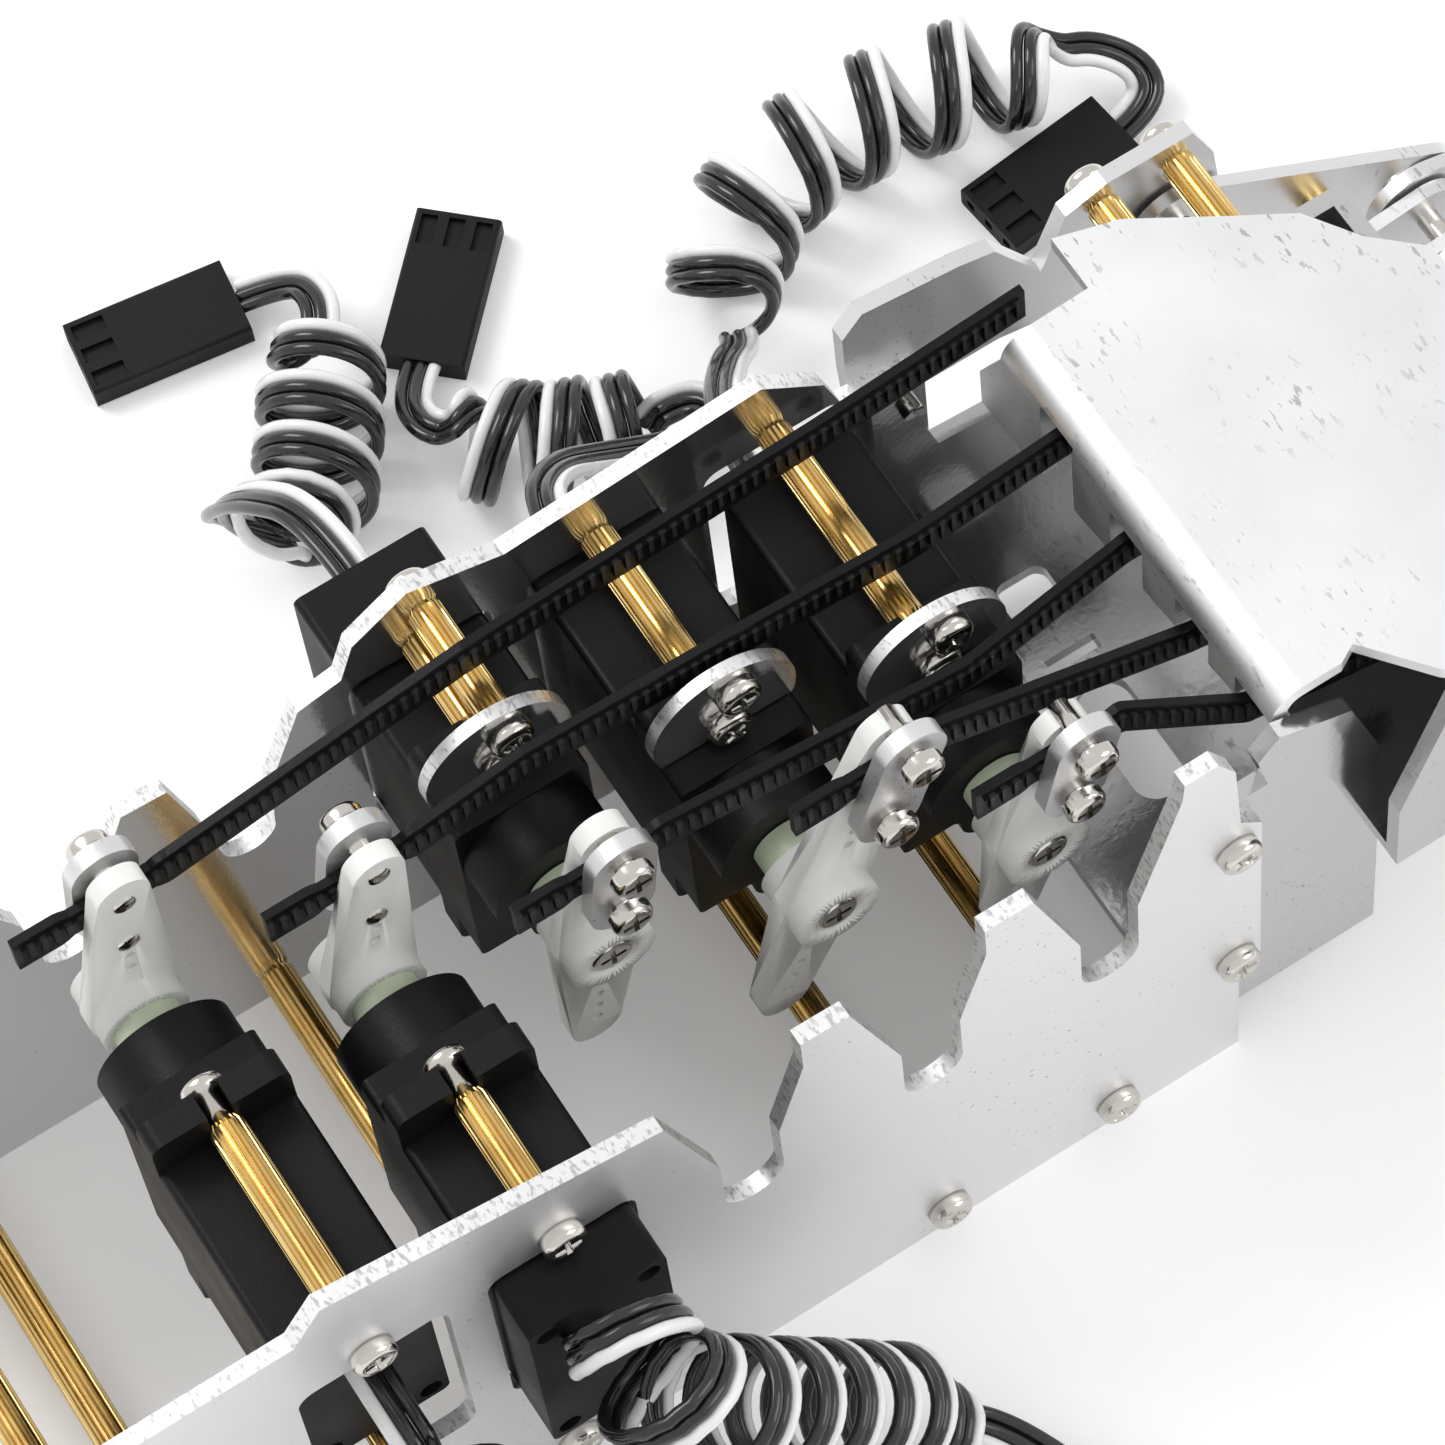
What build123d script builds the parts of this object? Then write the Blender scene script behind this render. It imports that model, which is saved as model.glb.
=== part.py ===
from build123d import *
import os
from math import cos, sin, tan, radians, pi

# Servo-driven hand of folded aluminium: a forearm box of two side plates that holds
# five micro servos, a folded palm, and five plate fingers pushed and pulled by straps.
# Millimetres. X runs from the wrist to the fingers, Z is up, Y = 0 is midway between the plates,
# X = 0 is the plates' palm end and Z = 0 their lower edges.

# Sheet metal and box
plate_t = 1.5
bay_width = 47.3
box_length = 115.0
inner_y = bay_width / 2
outer_y = inner_y + plate_t

# Servos, counted from the palm end
servo_pitch = 16.6
first_servo_x = -14.4
shaft_z = 38.1
case_w = 12.2
case_l = 23.0
case_low_z = shaft_z - 17.0
case_top_z = case_low_z + case_l
case_depth = 21.0
case_proud = 4.0
cover_depth = 6.5
ear_t = 2.5
ear_reach = 4.6
ear_end_z = case_top_z + ear_reach
ear_hole_above = 2.2
ear_hole_below = 2.4
ear_slot_w = 2.2
tower_d = 11.8
tower_h = 5.0
idler_d = 5.9
idler_h = 4.4
idler_down = 7.3
shaft_journal_d = 5.0
shaft_collar_d = 5.9
shaft_spline_d = 4.6
running_gap = 0.06

# Horn stack above the ear's upper face
collar_top = 11.6
hub_top = 17.0
hub_d = 7.6
hub_seat_d = 5.2
hub_screw_d = 4.4
hub_recess = 1.2
arm_low = 13.4
arm_t = 1.8
arm_root_r = 4.0
arm_tip_r = 2.3
strap_t = 1.1
strap_gap = 0.05
strap_w = 4.2
strap_waist_w = 3.3
clip_t = 1.5
clip_w = 5.8
clip_screw_d = 1.9
clip_head_d = 3.6
clip_head_h = 1.3

# One row per digit: side of the box that the shaft points to, place of the ear's face,
# lean of the horn, reach of its two arms, radii of the clip's screws
digits = {
    "little": dict(row=0, side=-1, ear_y=0.4, lean=12.0, up=17.5, down=14.0, clip=(10.6, 17.0)),
    "ring": dict(row=1, side=-1, ear_y=5.2, lean=19.0, up=24.0, down=17.0, clip=(14.9, 23.2)),
    "middle": dict(row=2, side=-1, ear_y=12.0, lean=7.0, up=18.0, down=17.0, clip=(10.3, 16.7)),
    "index": dict(row=3, side=1, ear_y=-9.4, lean=9.0, up=19.0, down=0.0, clip=(10.3, 16.7)),
    "thumb": dict(row=4, side=1, ear_y=-0.9, lean=6.0, up=20.5, down=0.0, clip=(10.9, 17.3)),
}

# Strap routes on from the clip: x, y, z of each bend, ending inside the palm
strap_tail = 8.5
strap_level = 5.0
over_ears_z = ear_end_z + 1.4 + strap_w / 2
strap_routes = {
    "little": [(3.0, -18.6, 47.6), (20.0, -20.2, 46.6)],
    "ring": [(3.0, -10.8, 46.9), (22.0, -12.0, 44.6)],
    "middle": [(-14.0, -4.6, 49.3), (3.0, -1.6, 47.3), (22.0, -1.0, 45.6)],
    "index": [
        (-47.0, 6.9, over_ears_z), (-29.0, 6.5, over_ears_z + 0.1), (-12.0, 6.4, over_ears_z - 0.9),
        (3.0, 8.2, 49.2), (20.0, 9.6, 46.6)],
    "thumb": [(-47.0, 15.4, over_ears_z + 3.9), (-14.0, 16.8, over_ears_z + 3.1), (7.0, 19.0, 52.8)],
}

# Rods and screws
rod_d = 3.0
tie_d = 3.0
tie_z = 4.2
thread_d = 1.9
hole_d = 2.1
head_d = 3.8
head_h = 1.5
upper_rod_dx = 1.1
upper_rod_dz = 4.2
tie_places = [
    (first_servo_x, tie_z), (first_servo_x - servo_pitch, tie_z), (-66.5, tie_z),
    (16.8 - box_length, tie_z), (10.4 - box_length, 11.0)]

# Palm
cover_top_z = 54.0
cover_bend_x = 6.0
cover_bend_r = 3.0
flange_x = cover_bend_x - cover_bend_r
floor_z = 5.0
step_x = 12.5
step_z = 26.0
knuckle_x = 40.0
knuckle_z = 44.0
front_wall_x = knuckle_x - 6.0
palm_near_y = -28.4
palm_far_y = 14.0
strap_slots = [(8.4, 52.0), (-1.6, 50.2), (-10.9, 50.4), (-19.2, 50.6)]
slot_w = 4.6
flange_near_y = -21.9
flange_foot_far = (19.8, 38.6)
flange_foot_near = (-15.6, 47.0)
corner_hole_zs = (18.4, 40.0)
corner_hole_x = -2.5

# Fingers
finger_ys = {"index": 9.5, "middle": -2.2, "ring": -13.9, "little": -25.6}
finger_xs = {"index": 41.0, "middle": 45.0, "ring": 44.0, "little": 41.0}
finger_lengths = {"index": 34.0, "middle": 37.0, "ring": 34.0, "little": 29.0}
tip_lengths = {"index": 30.0, "middle": 32.0, "ring": 30.0, "little": 26.0, "thumb": 26.0}
finger_inner = 6.4
finger_t = 1.2
finger_h = 8.6
lug_gap = 0.3
pin_d = 2.0
pin_head_d = 3.6
pin_head_h = 1.2
rest_curl = 18.0
tip_curl = 22.0
thumb_root = (25.0, 20.4, 40.5)
thumb_spacers = [(18.4, 48.4), (25.6, 48.4)]
thumb_length = 30.0
thumb_drop = 35.0

# Leads
ribbon_d = 3.6
coil_d = 11.6
connector = (15.0, 7.8, 2.6)

os.makedirs("parts", exist_ok=True)


def save(node, *solids):
    """Write one node, whose pieces stay separate solids."""
    flat = []
    for shape in solids:
        flat += list(shape.solids())
    export_step(flat[0] if len(flat) == 1 else Compound(children=flat), f"parts/{node}.step")


def side_plane(y):
    """A plane parallel to X and Z at this Y, drawn as X across and Z up."""
    return Plane.XZ.offset(-y)


def rod_y(x, z, y_low, y_high, diameter):
    """A round bar along Y."""
    return extrude(side_plane(y_high) * Pos(x, z) * Circle(diameter / 2), amount=y_high - y_low)


def sheet_xz(face, y_low, thickness):
    """A flat plate parallel to X and Z from its outline."""
    return extrude(side_plane(y_low + thickness) * face, amount=thickness)


def box(x, y, z):
    """A box from its limits along each axis."""
    middle = Pos((x[0] + x[1]) / 2, (y[0] + y[1]) / 2, (z[0] + z[1]) / 2)
    return middle * Box(x[1] - x[0], y[1] - y[0], z[1] - z[0])


def pan_screw_y(x, z, seat_y, out, length, shank=thread_d, head=head_d, height=head_h):
    """A pan-head screw whose head stands on seat_y and points along out times Y."""
    ends = sorted((seat_y, seat_y + out * height))
    domed = rod_y(x, z, ends[0], ends[1], head)
    rim = domed.faces().sort_by(Axis.Y)[-1 if out > 0 else 0].edges()
    domed = fillet(rim, height * 0.45)
    tail = sorted((seat_y, seat_y - out * length))
    return domed + rod_y(x, z, tail[0], tail[1], shank)


def servo_x(digit):
    return first_servo_x - servo_pitch * digits[digit]["row"]


def above_ear(digit, height):
    """The Y of a height measured from the ear's face towards the horn."""
    return digits[digit]["ear_y"] + digits[digit]["side"] * height


def y_span(digit, low, high):
    return sorted((above_ear(digit, low), above_ear(digit, high)))


def on_arm(digit, radius):
    """The X and Z of a place on the horn's upper arm."""
    lean = radians(digits[digit]["lean"])
    return servo_x(digit) + radius * sin(lean), shaft_z + radius * cos(lean)


ear_top_z = case_top_z + ear_hole_above
ear_low_z = case_low_z - ear_hole_below
far_digits = ["little", "ring", "middle"]
near_digits = ["index", "thumb"]


# The servos: case with ears and tower, bottom cover, output shaft
def servo_case(digit):
    x = servo_x(digit)
    seam = case_depth - cover_depth
    y0, y1 = y_span(digit, -seam, case_proud)
    body = box((x - case_w / 2, x + case_w / 2), (y0, y1), (case_low_z, case_top_z))
    body = fillet(body.edges().filter_by(Axis.Y), 0.7)
    e0, e1 = y_span(digit, -ear_t, 0)
    ears = box((x - case_w / 2, x + case_w / 2), (e0, e1), (case_low_z - ear_reach, ear_end_z))
    ears = fillet(ears.edges().filter_by(Axis.Y), 1.2)
    t0, t1 = y_span(digit, case_proud, case_proud + tower_h)
    tower = rod_y(x, shaft_z, t0, t1, tower_d)
    i0, i1 = y_span(digit, case_proud, case_proud + idler_h)
    idler = rod_y(x, shaft_z - idler_down, i0, i1, idler_d)
    case = body + ears + tower + idler
    b0, b1 = y_span(digit, case_proud - 3, case_proud + tower_h + 1)
    case -= rod_y(x, shaft_z, b0, b1, shaft_journal_d + 2 * running_gap)
    for z, end in ((ear_top_z, ear_end_z + 1), (ear_low_z, case_low_z - ear_reach - 1)):
        case -= rod_y(x, z, e0 - 1, e1 + 1, ear_slot_w)
        case -= box((x - ear_slot_w / 2, x + ear_slot_w / 2), (e0 - 1, e1 + 1), sorted((z, end)))
    return case


def servo_bottom(digit):
    x = servo_x(digit)
    seam = case_depth - cover_depth
    y0, y1 = y_span(digit, -case_depth, -seam)
    cover = box((x - case_w / 2, x + case_w / 2), (y0, y1), (case_low_z, case_top_z))
    cover = fillet(cover.edges().filter_by(Axis.Y), 0.7)
    end = y0 if digits[digit]["side"] > 0 else y1
    for dx in (-1, 1):
        for z in (case_low_z + 1.6, case_top_z - 1.6):
            place = x + dx * (case_w / 2 - 1.6)
            cover -= rod_y(place, z, end - 1.2, end + 1.2, 2.0)
    return cover


def output_shaft(digit):
    x = servo_x(digit)
    j = rod_y(x, shaft_z, *y_span(digit, case_proud - 2.5, case_proud + tower_h + 0.1), shaft_journal_d)
    collar = rod_y(x, shaft_z, *y_span(digit, case_proud + tower_h + 0.1, collar_top), shaft_collar_d)
    spline = rod_y(x, shaft_z, *y_span(digit, collar_top, hub_top - 2.4), shaft_spline_d)
    return j + collar + spline


def horn(digit):
    """The moulded horn: a hub that fits the spline, and one or two tapered arms."""
    d = digits[digit]
    x = servo_x(digit)
    root = side_plane(above_ear(digit, arm_low if d["side"] < 0 else arm_low + arm_t))
    tips = [d["up"]] + ([-d["down"]] if d["down"] else [])
    blade = None
    for reach in tips:
        top = reach - (arm_tip_r if reach > 0 else -arm_tip_r)
        rings = Sketch() + Circle(arm_root_r) + Pos(0, top) * Circle(arm_tip_r)
        arm = make_hull(rings.edges())
        blade = arm if blade is None else blade + arm
    blade = Pos(x, shaft_z) * Rot(0, 0, -d["lean"]) * blade
    solid = extrude(root * blade, amount=arm_t)
    solid += rod_y(x, shaft_z, *y_span(digit, collar_top, hub_top), hub_d)
    solid -= rod_y(x, shaft_z, *y_span(digit, collar_top, hub_top - 2.3), shaft_spline_d + 2 * running_gap)
    solid -= rod_y(x, shaft_z, *y_span(digit, hub_top - hub_recess, hub_top + 1), hub_screw_d)
    solid -= rod_y(x, shaft_z, *y_span(digit, hub_top - 3, hub_top), thread_d)
    for radius in d["clip"]:
        cx, cz = on_arm(digit, radius)
        solid -= rod_y(cx, cz, *y_span(digit, arm_low - 1, arm_low + arm_t + 1), clip_screw_d)
    return solid


def strap_clip(digit):
    """The aluminium link that pinches the strap against the arm, and its two screws."""
    d = digits[digit]
    low = arm_low + arm_t + strap_t + 2 * strap_gap
    r0, r1 = d["clip"]
    mid_x, mid_z = on_arm(digit, (r0 + r1) / 2)
    outline = Pos(mid_x, mid_z) * Rot(0, 0, 90 - d["lean"]) * SlotCenterToCenter(r1 - r0, clip_w)
    y0, y1 = y_span(digit, low, low + clip_t)
    plate = extrude(side_plane(y1) * outline, amount=clip_t)
    screws = []
    for radius in d["clip"]:
        cx, cz = on_arm(digit, radius)
        plate -= rod_y(cx, cz, y0 - 1, y1 + 1, clip_screw_d)
        seat = above_ear(digit, low + clip_t)
        shank = low + clip_t - arm_low + 1.6
        screws.append(pan_screw_y(cx, cz, seat, d["side"], shank, clip_screw_d, clip_head_d, clip_head_h))
    return [plate] + screws


def strap(digit):
    """A nylon strap on edge: level at its clip, with a waist between the screws."""
    d = digits[digit]
    r0, r1 = d["clip"]
    cx, cz = on_arm(digit, (r0 + r1) / 2)
    lane = above_ear(digit, arm_low + arm_t + strap_gap + strap_t / 2)
    waist = (r1 - r0) / 2 + 0.4
    stations = [(cx - strap_tail, lane, cz, strap_w)]
    stations += [(cx - waist - 0.8, lane, cz, strap_w), (cx - waist, lane, cz, strap_waist_w)]
    stations += [(cx + waist, lane, cz, strap_waist_w), (cx + waist + 0.8, lane, cz, strap_w)]
    stations += [(cx + strap_level, lane, cz, strap_w)] if strap_level > waist + 0.9 else []
    stations += [(x, y, z, strap_w) for x, y, z in strap_routes[digit]]
    solid = None
    for a, b in zip(stations, stations[1:]):
        ends = []
        for x, y, z, width in (a, b):
            across = Plane((x, y, z), x_dir=(0, 1, 0), z_dir=(1, 0, 0))
            ends.append(across * Rectangle(strap_t, width))
        piece = loft(ends, ruled=True)
        solid = piece if solid is None else solid + piece
    return solid


# The side plates
def tooth_outline():
    """Upper edge of the near plate from the palm end back to the wrist."""
    xs = [servo_x(d) for d in far_digits]
    c, b, a = xs
    points = [(-2.1, 0), (-2.1, 14.4), (0, 14.9), (0, 42), (-2, 44.3), (-2.5, 54.3)]
    points += [(-4.1, 57.5), (-7.2, 57.5)]
    points += [(-7.4, 54.9), (c + 2.7, 40.5), (c - 2.7, 39.7), (c - 6.7, 53.2)]
    for x in (b, a):
        points += [(x + 5.5, 53.3), (x + 5.5, 49), (x + 2.7, 39.7), (x - 2.7, 39.7), (x - 6.7, 53.1)]
    points += [(-83.5, 58.6), (-86.2, 54.6), (-box_length, 54.6), (-box_length, 0)]
    return points


def plate_holes(plate, y, places, diameter):
    for x, z in places:
        plate -= rod_y(x, z, y - 3, y + plate_t + 3, diameter)
    return plate


def window(x):
    """A rounded opening that a servo case passes through."""
    mid = (case_low_z + case_top_z) / 2
    return Pos(x, mid) * RectangleRounded(case_w + 1.0, case_l + 1.0, 1.6)


wrist_holes = [(-box_length + 7, 14.0), (-box_length + 7, 38.0)]
wrist_hole_d = 3.2


def near_plate():
    outline = make_face(Polyline(*tooth_outline(), close=True))
    for digit in far_digits:
        x = servo_x(digit)
        outline -= Pos(x, 33.3) * Circle(2.7)
        outline -= Pos(x, 37.3) * Rectangle(5.4, 8)
    for digit in near_digits:
        outline -= window(servo_x(digit))
    plate = sheet_xz(outline, -outer_y, plate_t)
    holes = [(servo_x(d), z) for d in near_digits for z in (ear_top_z, ear_low_z)]
    holes += tie_places + [(corner_hole_x, z) for z in corner_hole_zs]
    plate = plate_holes(plate, -outer_y, holes, hole_d)
    return plate_holes(plate, -outer_y, wrist_holes, wrist_hole_d)


def far_plate():
    points = [(-2.1, 0), (-2.1, 14.4), (0, 14.9), (0, 42), (-3.8, 43), (-7.7, 43.4), (-9.2, 48.4)]
    points += [(-14.8, 53.6), (-38.9, 51.4), (-47.5, 54.2), (-52.9, 50.8), (-54.4, 46.6)]
    points += [(-58.5, 45.6), (-62.1, 36.8)]
    points += [(-62.8, 30.0), (-67.7, 30.0), (-68.5, 36.1), (-70.5, 45.1), (-74.6, 45.4), (-78.0, 36.8)]
    points += [(-79.4, 30.0), (-84.2, 30.0), (-85.0, 37.4), (-88.5, 45.4)]
    points += [(-box_length, 45.4), (-box_length, 0)]
    outline = make_face(Polyline(*points, close=True))
    for digit in near_digits:
        x = servo_x(digit)
        outline -= Pos(x - 1.0, 30.0) * Circle(2.45)
    for digit in far_digits:
        outline -= window(servo_x(digit))
    plate = sheet_xz(outline, inner_y, plate_t)
    holes = [(servo_x(d), z) for d in far_digits for z in (ear_top_z, ear_low_z)]
    holes.append((servo_x("middle") + upper_rod_dx, ear_top_z + upper_rod_dz))
    holes += tie_places + [(corner_hole_x, z) for z in corner_hole_zs]
    plate = plate_holes(plate, inner_y, holes, hole_d)
    return plate_holes(plate, inner_y, wrist_holes, wrist_hole_d)


# Retainer plates on the far servos, and the rods
retainer_t = 1.2
retainer_r = 6.6


def retainer(digit):
    x = servo_x(digit)
    z = ear_top_z
    base_z = case_top_z + 0.3
    disc = Pos(x, base_z + 2.6) * Circle(retainer_r)
    disc &= Pos(x, base_z + retainer_r) * Rectangle(2 * retainer_r, 2 * retainer_r)
    plate = sheet_xz(disc, above_ear(digit, retainer_t), retainer_t)
    plate -= rod_y(x, z, above_ear(digit, 5), above_ear(digit, -5), hole_d)
    up = (x + upper_rod_dx, z + upper_rod_dz)
    return plate - rod_y(*up, above_ear(digit, 5), above_ear(digit, -5), hole_d)


def hollow_rod(x, z, y_low, y_high, diameter, depth=6.0):
    """A brass standoff with a tapped hole in each end."""
    rod = rod_y(x, z, y_low, y_high, diameter)
    depth = min(depth, (y_high - y_low) / 2 - 0.4)
    rod -= rod_y(x, z, y_low, y_low + depth, thread_d)
    return rod - rod_y(x, z, y_high - depth, y_high, thread_d)


def standoffs():
    rods = []
    for digit in far_digits:
        low = above_ear(digit, -ear_t)
        for z in (ear_top_z, ear_low_z):
            rods.append(hollow_rod(servo_x(digit), z, low, inner_y, rod_d))
    x, z = servo_x("middle") + upper_rod_dx, ear_top_z + upper_rod_dz
    rods.append(hollow_rod(x, z, above_ear("middle", 0), inner_y, rod_d))
    for digit in near_digits:
        high = above_ear(digit, -ear_t)
        for z in (ear_top_z, ear_low_z):
            rods.append(hollow_rod(servo_x(digit), z, -inner_y, high, rod_d))
    return rods


def frame_screws():
    """Screws from outside both plates into the rods, ties and palm sheet."""
    screws = []
    near = [(servo_x(d), z) for d in near_digits for z in (ear_top_z, ear_low_z)] + tie_places
    near += [(corner_hole_x, z) for z in corner_hole_zs]
    far = [(servo_x(d), z) for d in far_digits for z in (ear_top_z, ear_low_z)] + tie_places
    far.append((servo_x("middle") + upper_rod_dx, ear_top_z + upper_rod_dz))
    far += [(corner_hole_x, z) for z in corner_hole_zs]
    for x, z in near:
        screws.append(pan_screw_y(x, z, -outer_y, -1, plate_t + (2.2 if x == corner_hole_x else 4.0)))
    for x, z in far:
        screws.append(pan_screw_y(x, z, outer_y, 1, plate_t + (2.2 if x == corner_hole_x else 4.0)))
    return screws


def ear_screws():
    """Screws through the ears, and through the retainers, into the rods."""
    screws = []
    for digit in near_digits:
        for z in (ear_top_z, ear_low_z):
            screws.append(pan_screw_y(servo_x(digit), z, above_ear(digit, 0), 1, ear_t + 4))
    for digit in far_digits:
        x = servo_x(digit)
        screws.append(pan_screw_y(x, ear_low_z, above_ear(digit, 0), -1, ear_t + 4))
        screws.append(pan_screw_y(x, ear_top_z, above_ear(digit, retainer_t), -1, retainer_t + ear_t + 2))
        up = (x + upper_rod_dx, ear_top_z + upper_rod_dz)
        grip = 3.4 if digit == "middle" else 0.3
        screws.append(pan_screw_y(*up, above_ear(digit, retainer_t), -1, retainer_t + grip))
    return screws


# The palm: a stepped sheet below, a cover with a toothed front edge above
def palm_base():
    """One folded sheet: a low floor, a riser, an upper floor, a front wall and side walls."""
    t = plate_t
    y = inner_y
    top = cover_top_z - t
    low = [(-6, floor_z), (step_x, floor_z), (step_x, step_z + t), (step_x - t, step_z + t)]
    low += [(step_x - t, floor_z + t), (-6, floor_z + t)]
    tray = sheet_xz(make_face(Polyline(*low, close=True)), -y, 2 * y)
    high = [(step_x - t, step_z), (front_wall_x, step_z)]
    high += [(front_wall_x, top), (front_wall_x - t, top)]
    high += [(front_wall_x - t, step_z + t), (step_x - t, step_z + t)]
    tray += sheet_xz(make_face(Polyline(*high, close=True)), palm_near_y, palm_far_y - palm_near_y)
    near_wall = [(-6, floor_z), (step_x, floor_z), (step_x, 38), (9.4, 48.6), (2.6, 51.8)]
    near_wall += [(0.6, 49.4), (1.6, 44.5), (-6, 44.5)]
    tray += sheet_xz(make_face(Polyline(*near_wall, close=True)), -y, t)
    far_wall = [(-6, floor_z), (step_x, floor_z), (step_x, step_z), (9, 30), (0, 30.8)]
    far_wall += [(-3.2, 42.6), (-6, 42.6)]
    tray += sheet_xz(make_face(Polyline(*far_wall, close=True)), y - t, t)
    cheek = [(step_x - t, step_z), (front_wall_x, step_z), (front_wall_x, top)]
    cheek += [(16.6, top), (step_x - t, 36)]
    for low_y in (palm_near_y, palm_far_y - t):
        tray += sheet_xz(make_face(Polyline(*cheek, close=True)), low_y, t)
    cuts = Pos(4.6, 16.2) * RectangleRounded(5.0, 5.2, 1.2)
    cuts += Pos(4.6, 9.9) * Rectangle(5.0, 1.4)
    cuts += Pos(4.4, 0.6) * RectangleRounded(5.0, 12.6, 2.3)
    tray -= extrude(Plane.XY.offset(floor_z - 1) * cuts, amount=t + 2)
    for z in corner_hole_zs:
        tray -= rod_y(corner_hole_x, z, -outer_y, outer_y, thread_d)
    for x, z in thumb_spacers:
        tray -= rod_y(x, z, palm_far_y - 5, palm_far_y + 1, thread_d)
    return tray - rod_y(thumb_root[0], thumb_root[2], palm_far_y - 5, palm_far_y + 1, pin_d)


def palm_cover():
    t = plate_t
    top = cover_top_z
    outline = [(cover_bend_x, flange_near_y), (cover_bend_x, 16.4), (11.6, 16.6), (11.6, 22.0)]
    outline += [(17.2, 20.4), (24.8, 15.6), (29.4, 12.8), (32.4, 8.2)]
    outline += [(front_wall_x + 2.4, 4.4), (front_wall_x + 2.4, -30.0)]
    outline += [(20.0, -30.0), (15.6, -26.6), (11.2, -21.0), (9.6, flange_near_y)]
    sheet = extrude(Plane.XY.offset(top - t) * make_face(Polyline(*outline, close=True)), amount=t)
    r = cover_bend_r
    bend = Plane((cover_bend_x, 16.4, top - r), x_dir=(1, 0, 0), z_dir=(0, -1, 0))
    ring = Circle(r) - Circle(r - t)
    ring &= Pos(-r / 2, r / 2) * Rectangle(r, r)
    sheet += extrude(bend * ring, amount=16.4 - flange_near_y)
    foot = [(flange_near_y, top - r), (16.4, top - r), (flange_foot_far[0], 44.0), flange_foot_far]
    foot += [(14.8, 39.4), flange_foot_near, (flange_near_y, 48.2)]
    edge = make_face(Polyline(*foot, close=True))
    flange_plane = Plane((flange_x, 0, 0), x_dir=(0, 1, 0), z_dir=(1, 0, 0))
    sheet += extrude(flange_plane * edge, amount=t)
    for y, high in strap_slots:
        sheet -= box((flange_x - 2, cover_bend_x - 0.2), (y - slot_w / 2, y + slot_w / 2), (30, high))
    side = [(20.2, top - t), (front_wall_x + 2.4, top - t), (front_wall_x + 2.4, 40)]
    side += [(24, 38), (20.2, 42)]
    sheet += sheet_xz(make_face(Polyline(*side, close=True)), -30.0, t)
    return sheet


def thumb_bracket():
    """A plate on the far plate's outer face whose lip wraps over the thumb's strap."""
    lip = [(-6.4, 44.0), (-6.4, 50.6), (-4.4, 53.0), (4.8, 51.6), (8.2, 50.6), (12.4, 43.0)]
    lip += [(15.0, 49.6), (19.0, 51.0), (27.4, 51.0), (29.4, 46.0), (30.0, 40.0)]
    lip += [(28.0, 35.6), (16.0, 34.0), (8.0, 36.0), (-6.0, 36.0)]
    plate = sheet_xz(make_face(Polyline(*lip, close=True)), outer_y, plate_t)
    plate -= rod_y(corner_hole_x, corner_hole_zs[1], outer_y - 1, outer_y + 3, head_d + 0.6)
    for x, z in thumb_spacers:
        plate -= rod_y(x, z, outer_y - 1, outer_y + 3, hole_d)
    return plate - rod_y(thumb_root[0], thumb_root[2], outer_y - 1, outer_y + 3, pin_d)


# Fingers
def turned(solid, pivot, angle):
    """Turn about an axis along Y through pivot; positive curls down."""
    return Pos(*pivot) * Rot(0, angle, 0) * Pos(-pivot[0], -pivot[1], -pivot[2]) * solid


def link_outline(length, root_r, tip_r):
    """The outline of a side link that narrows to its tip."""
    return make_hull((Sketch() + Circle(root_r) + Pos(length, 0) * Circle(tip_r)).edges())


def digit_frame(name):
    """Root pivot, length and rest angle of a digit's first link."""
    if name == "thumb":
        return thumb_root, thumb_length, thumb_drop
    return (finger_xs[name], finger_ys[name], knuckle_z), finger_lengths[name], rest_curl


def digit_sides(name):
    """Inner and outer half widths of a digit's two side links."""
    return finger_inner / 2, finger_inner / 2 + finger_t


def proximal_links(name):
    root, length, angle = digit_frame(name)
    low, high = digit_sides(name)
    links = []
    for y in (root[1] - high, root[1] + low):
        outline = link_outline(length, finger_h / 2, finger_h / 2 - 0.6)
        link = sheet_xz(Pos(root[0], root[2]) * outline, y, finger_t)
        for along in (0, length * 0.55, length):
            size = pin_d + (2 * running_gap if along == 0 else 0)
            link -= rod_y(root[0] + along, root[2], y - 1, y + finger_t + 1, size)
        links.append(turned(link, root, angle))
    return links


def proximal_pins(name):
    """The spacer rod in the middle of the links and the pin that the tip turns on."""
    root, length, angle = digit_frame(name)
    low, high = digit_sides(name)
    pins = []
    for along in (length * 0.55, length):
        x = root[0] + along
        rod = rod_y(x, root[2], root[1] - high, root[1] + high, pin_d)
        if along < length:
            rod += rod_y(x, root[2], root[1] - low, root[1] + low, rod_d)
        for out in (-1, 1):
            y = sorted((root[1] + out * high, root[1] + out * (high + pin_head_h)))
            rod += rod_y(x, root[2], y[0], y[1], pin_head_d)
        pins.append(turned(rod, root, angle))
    return pins


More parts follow.
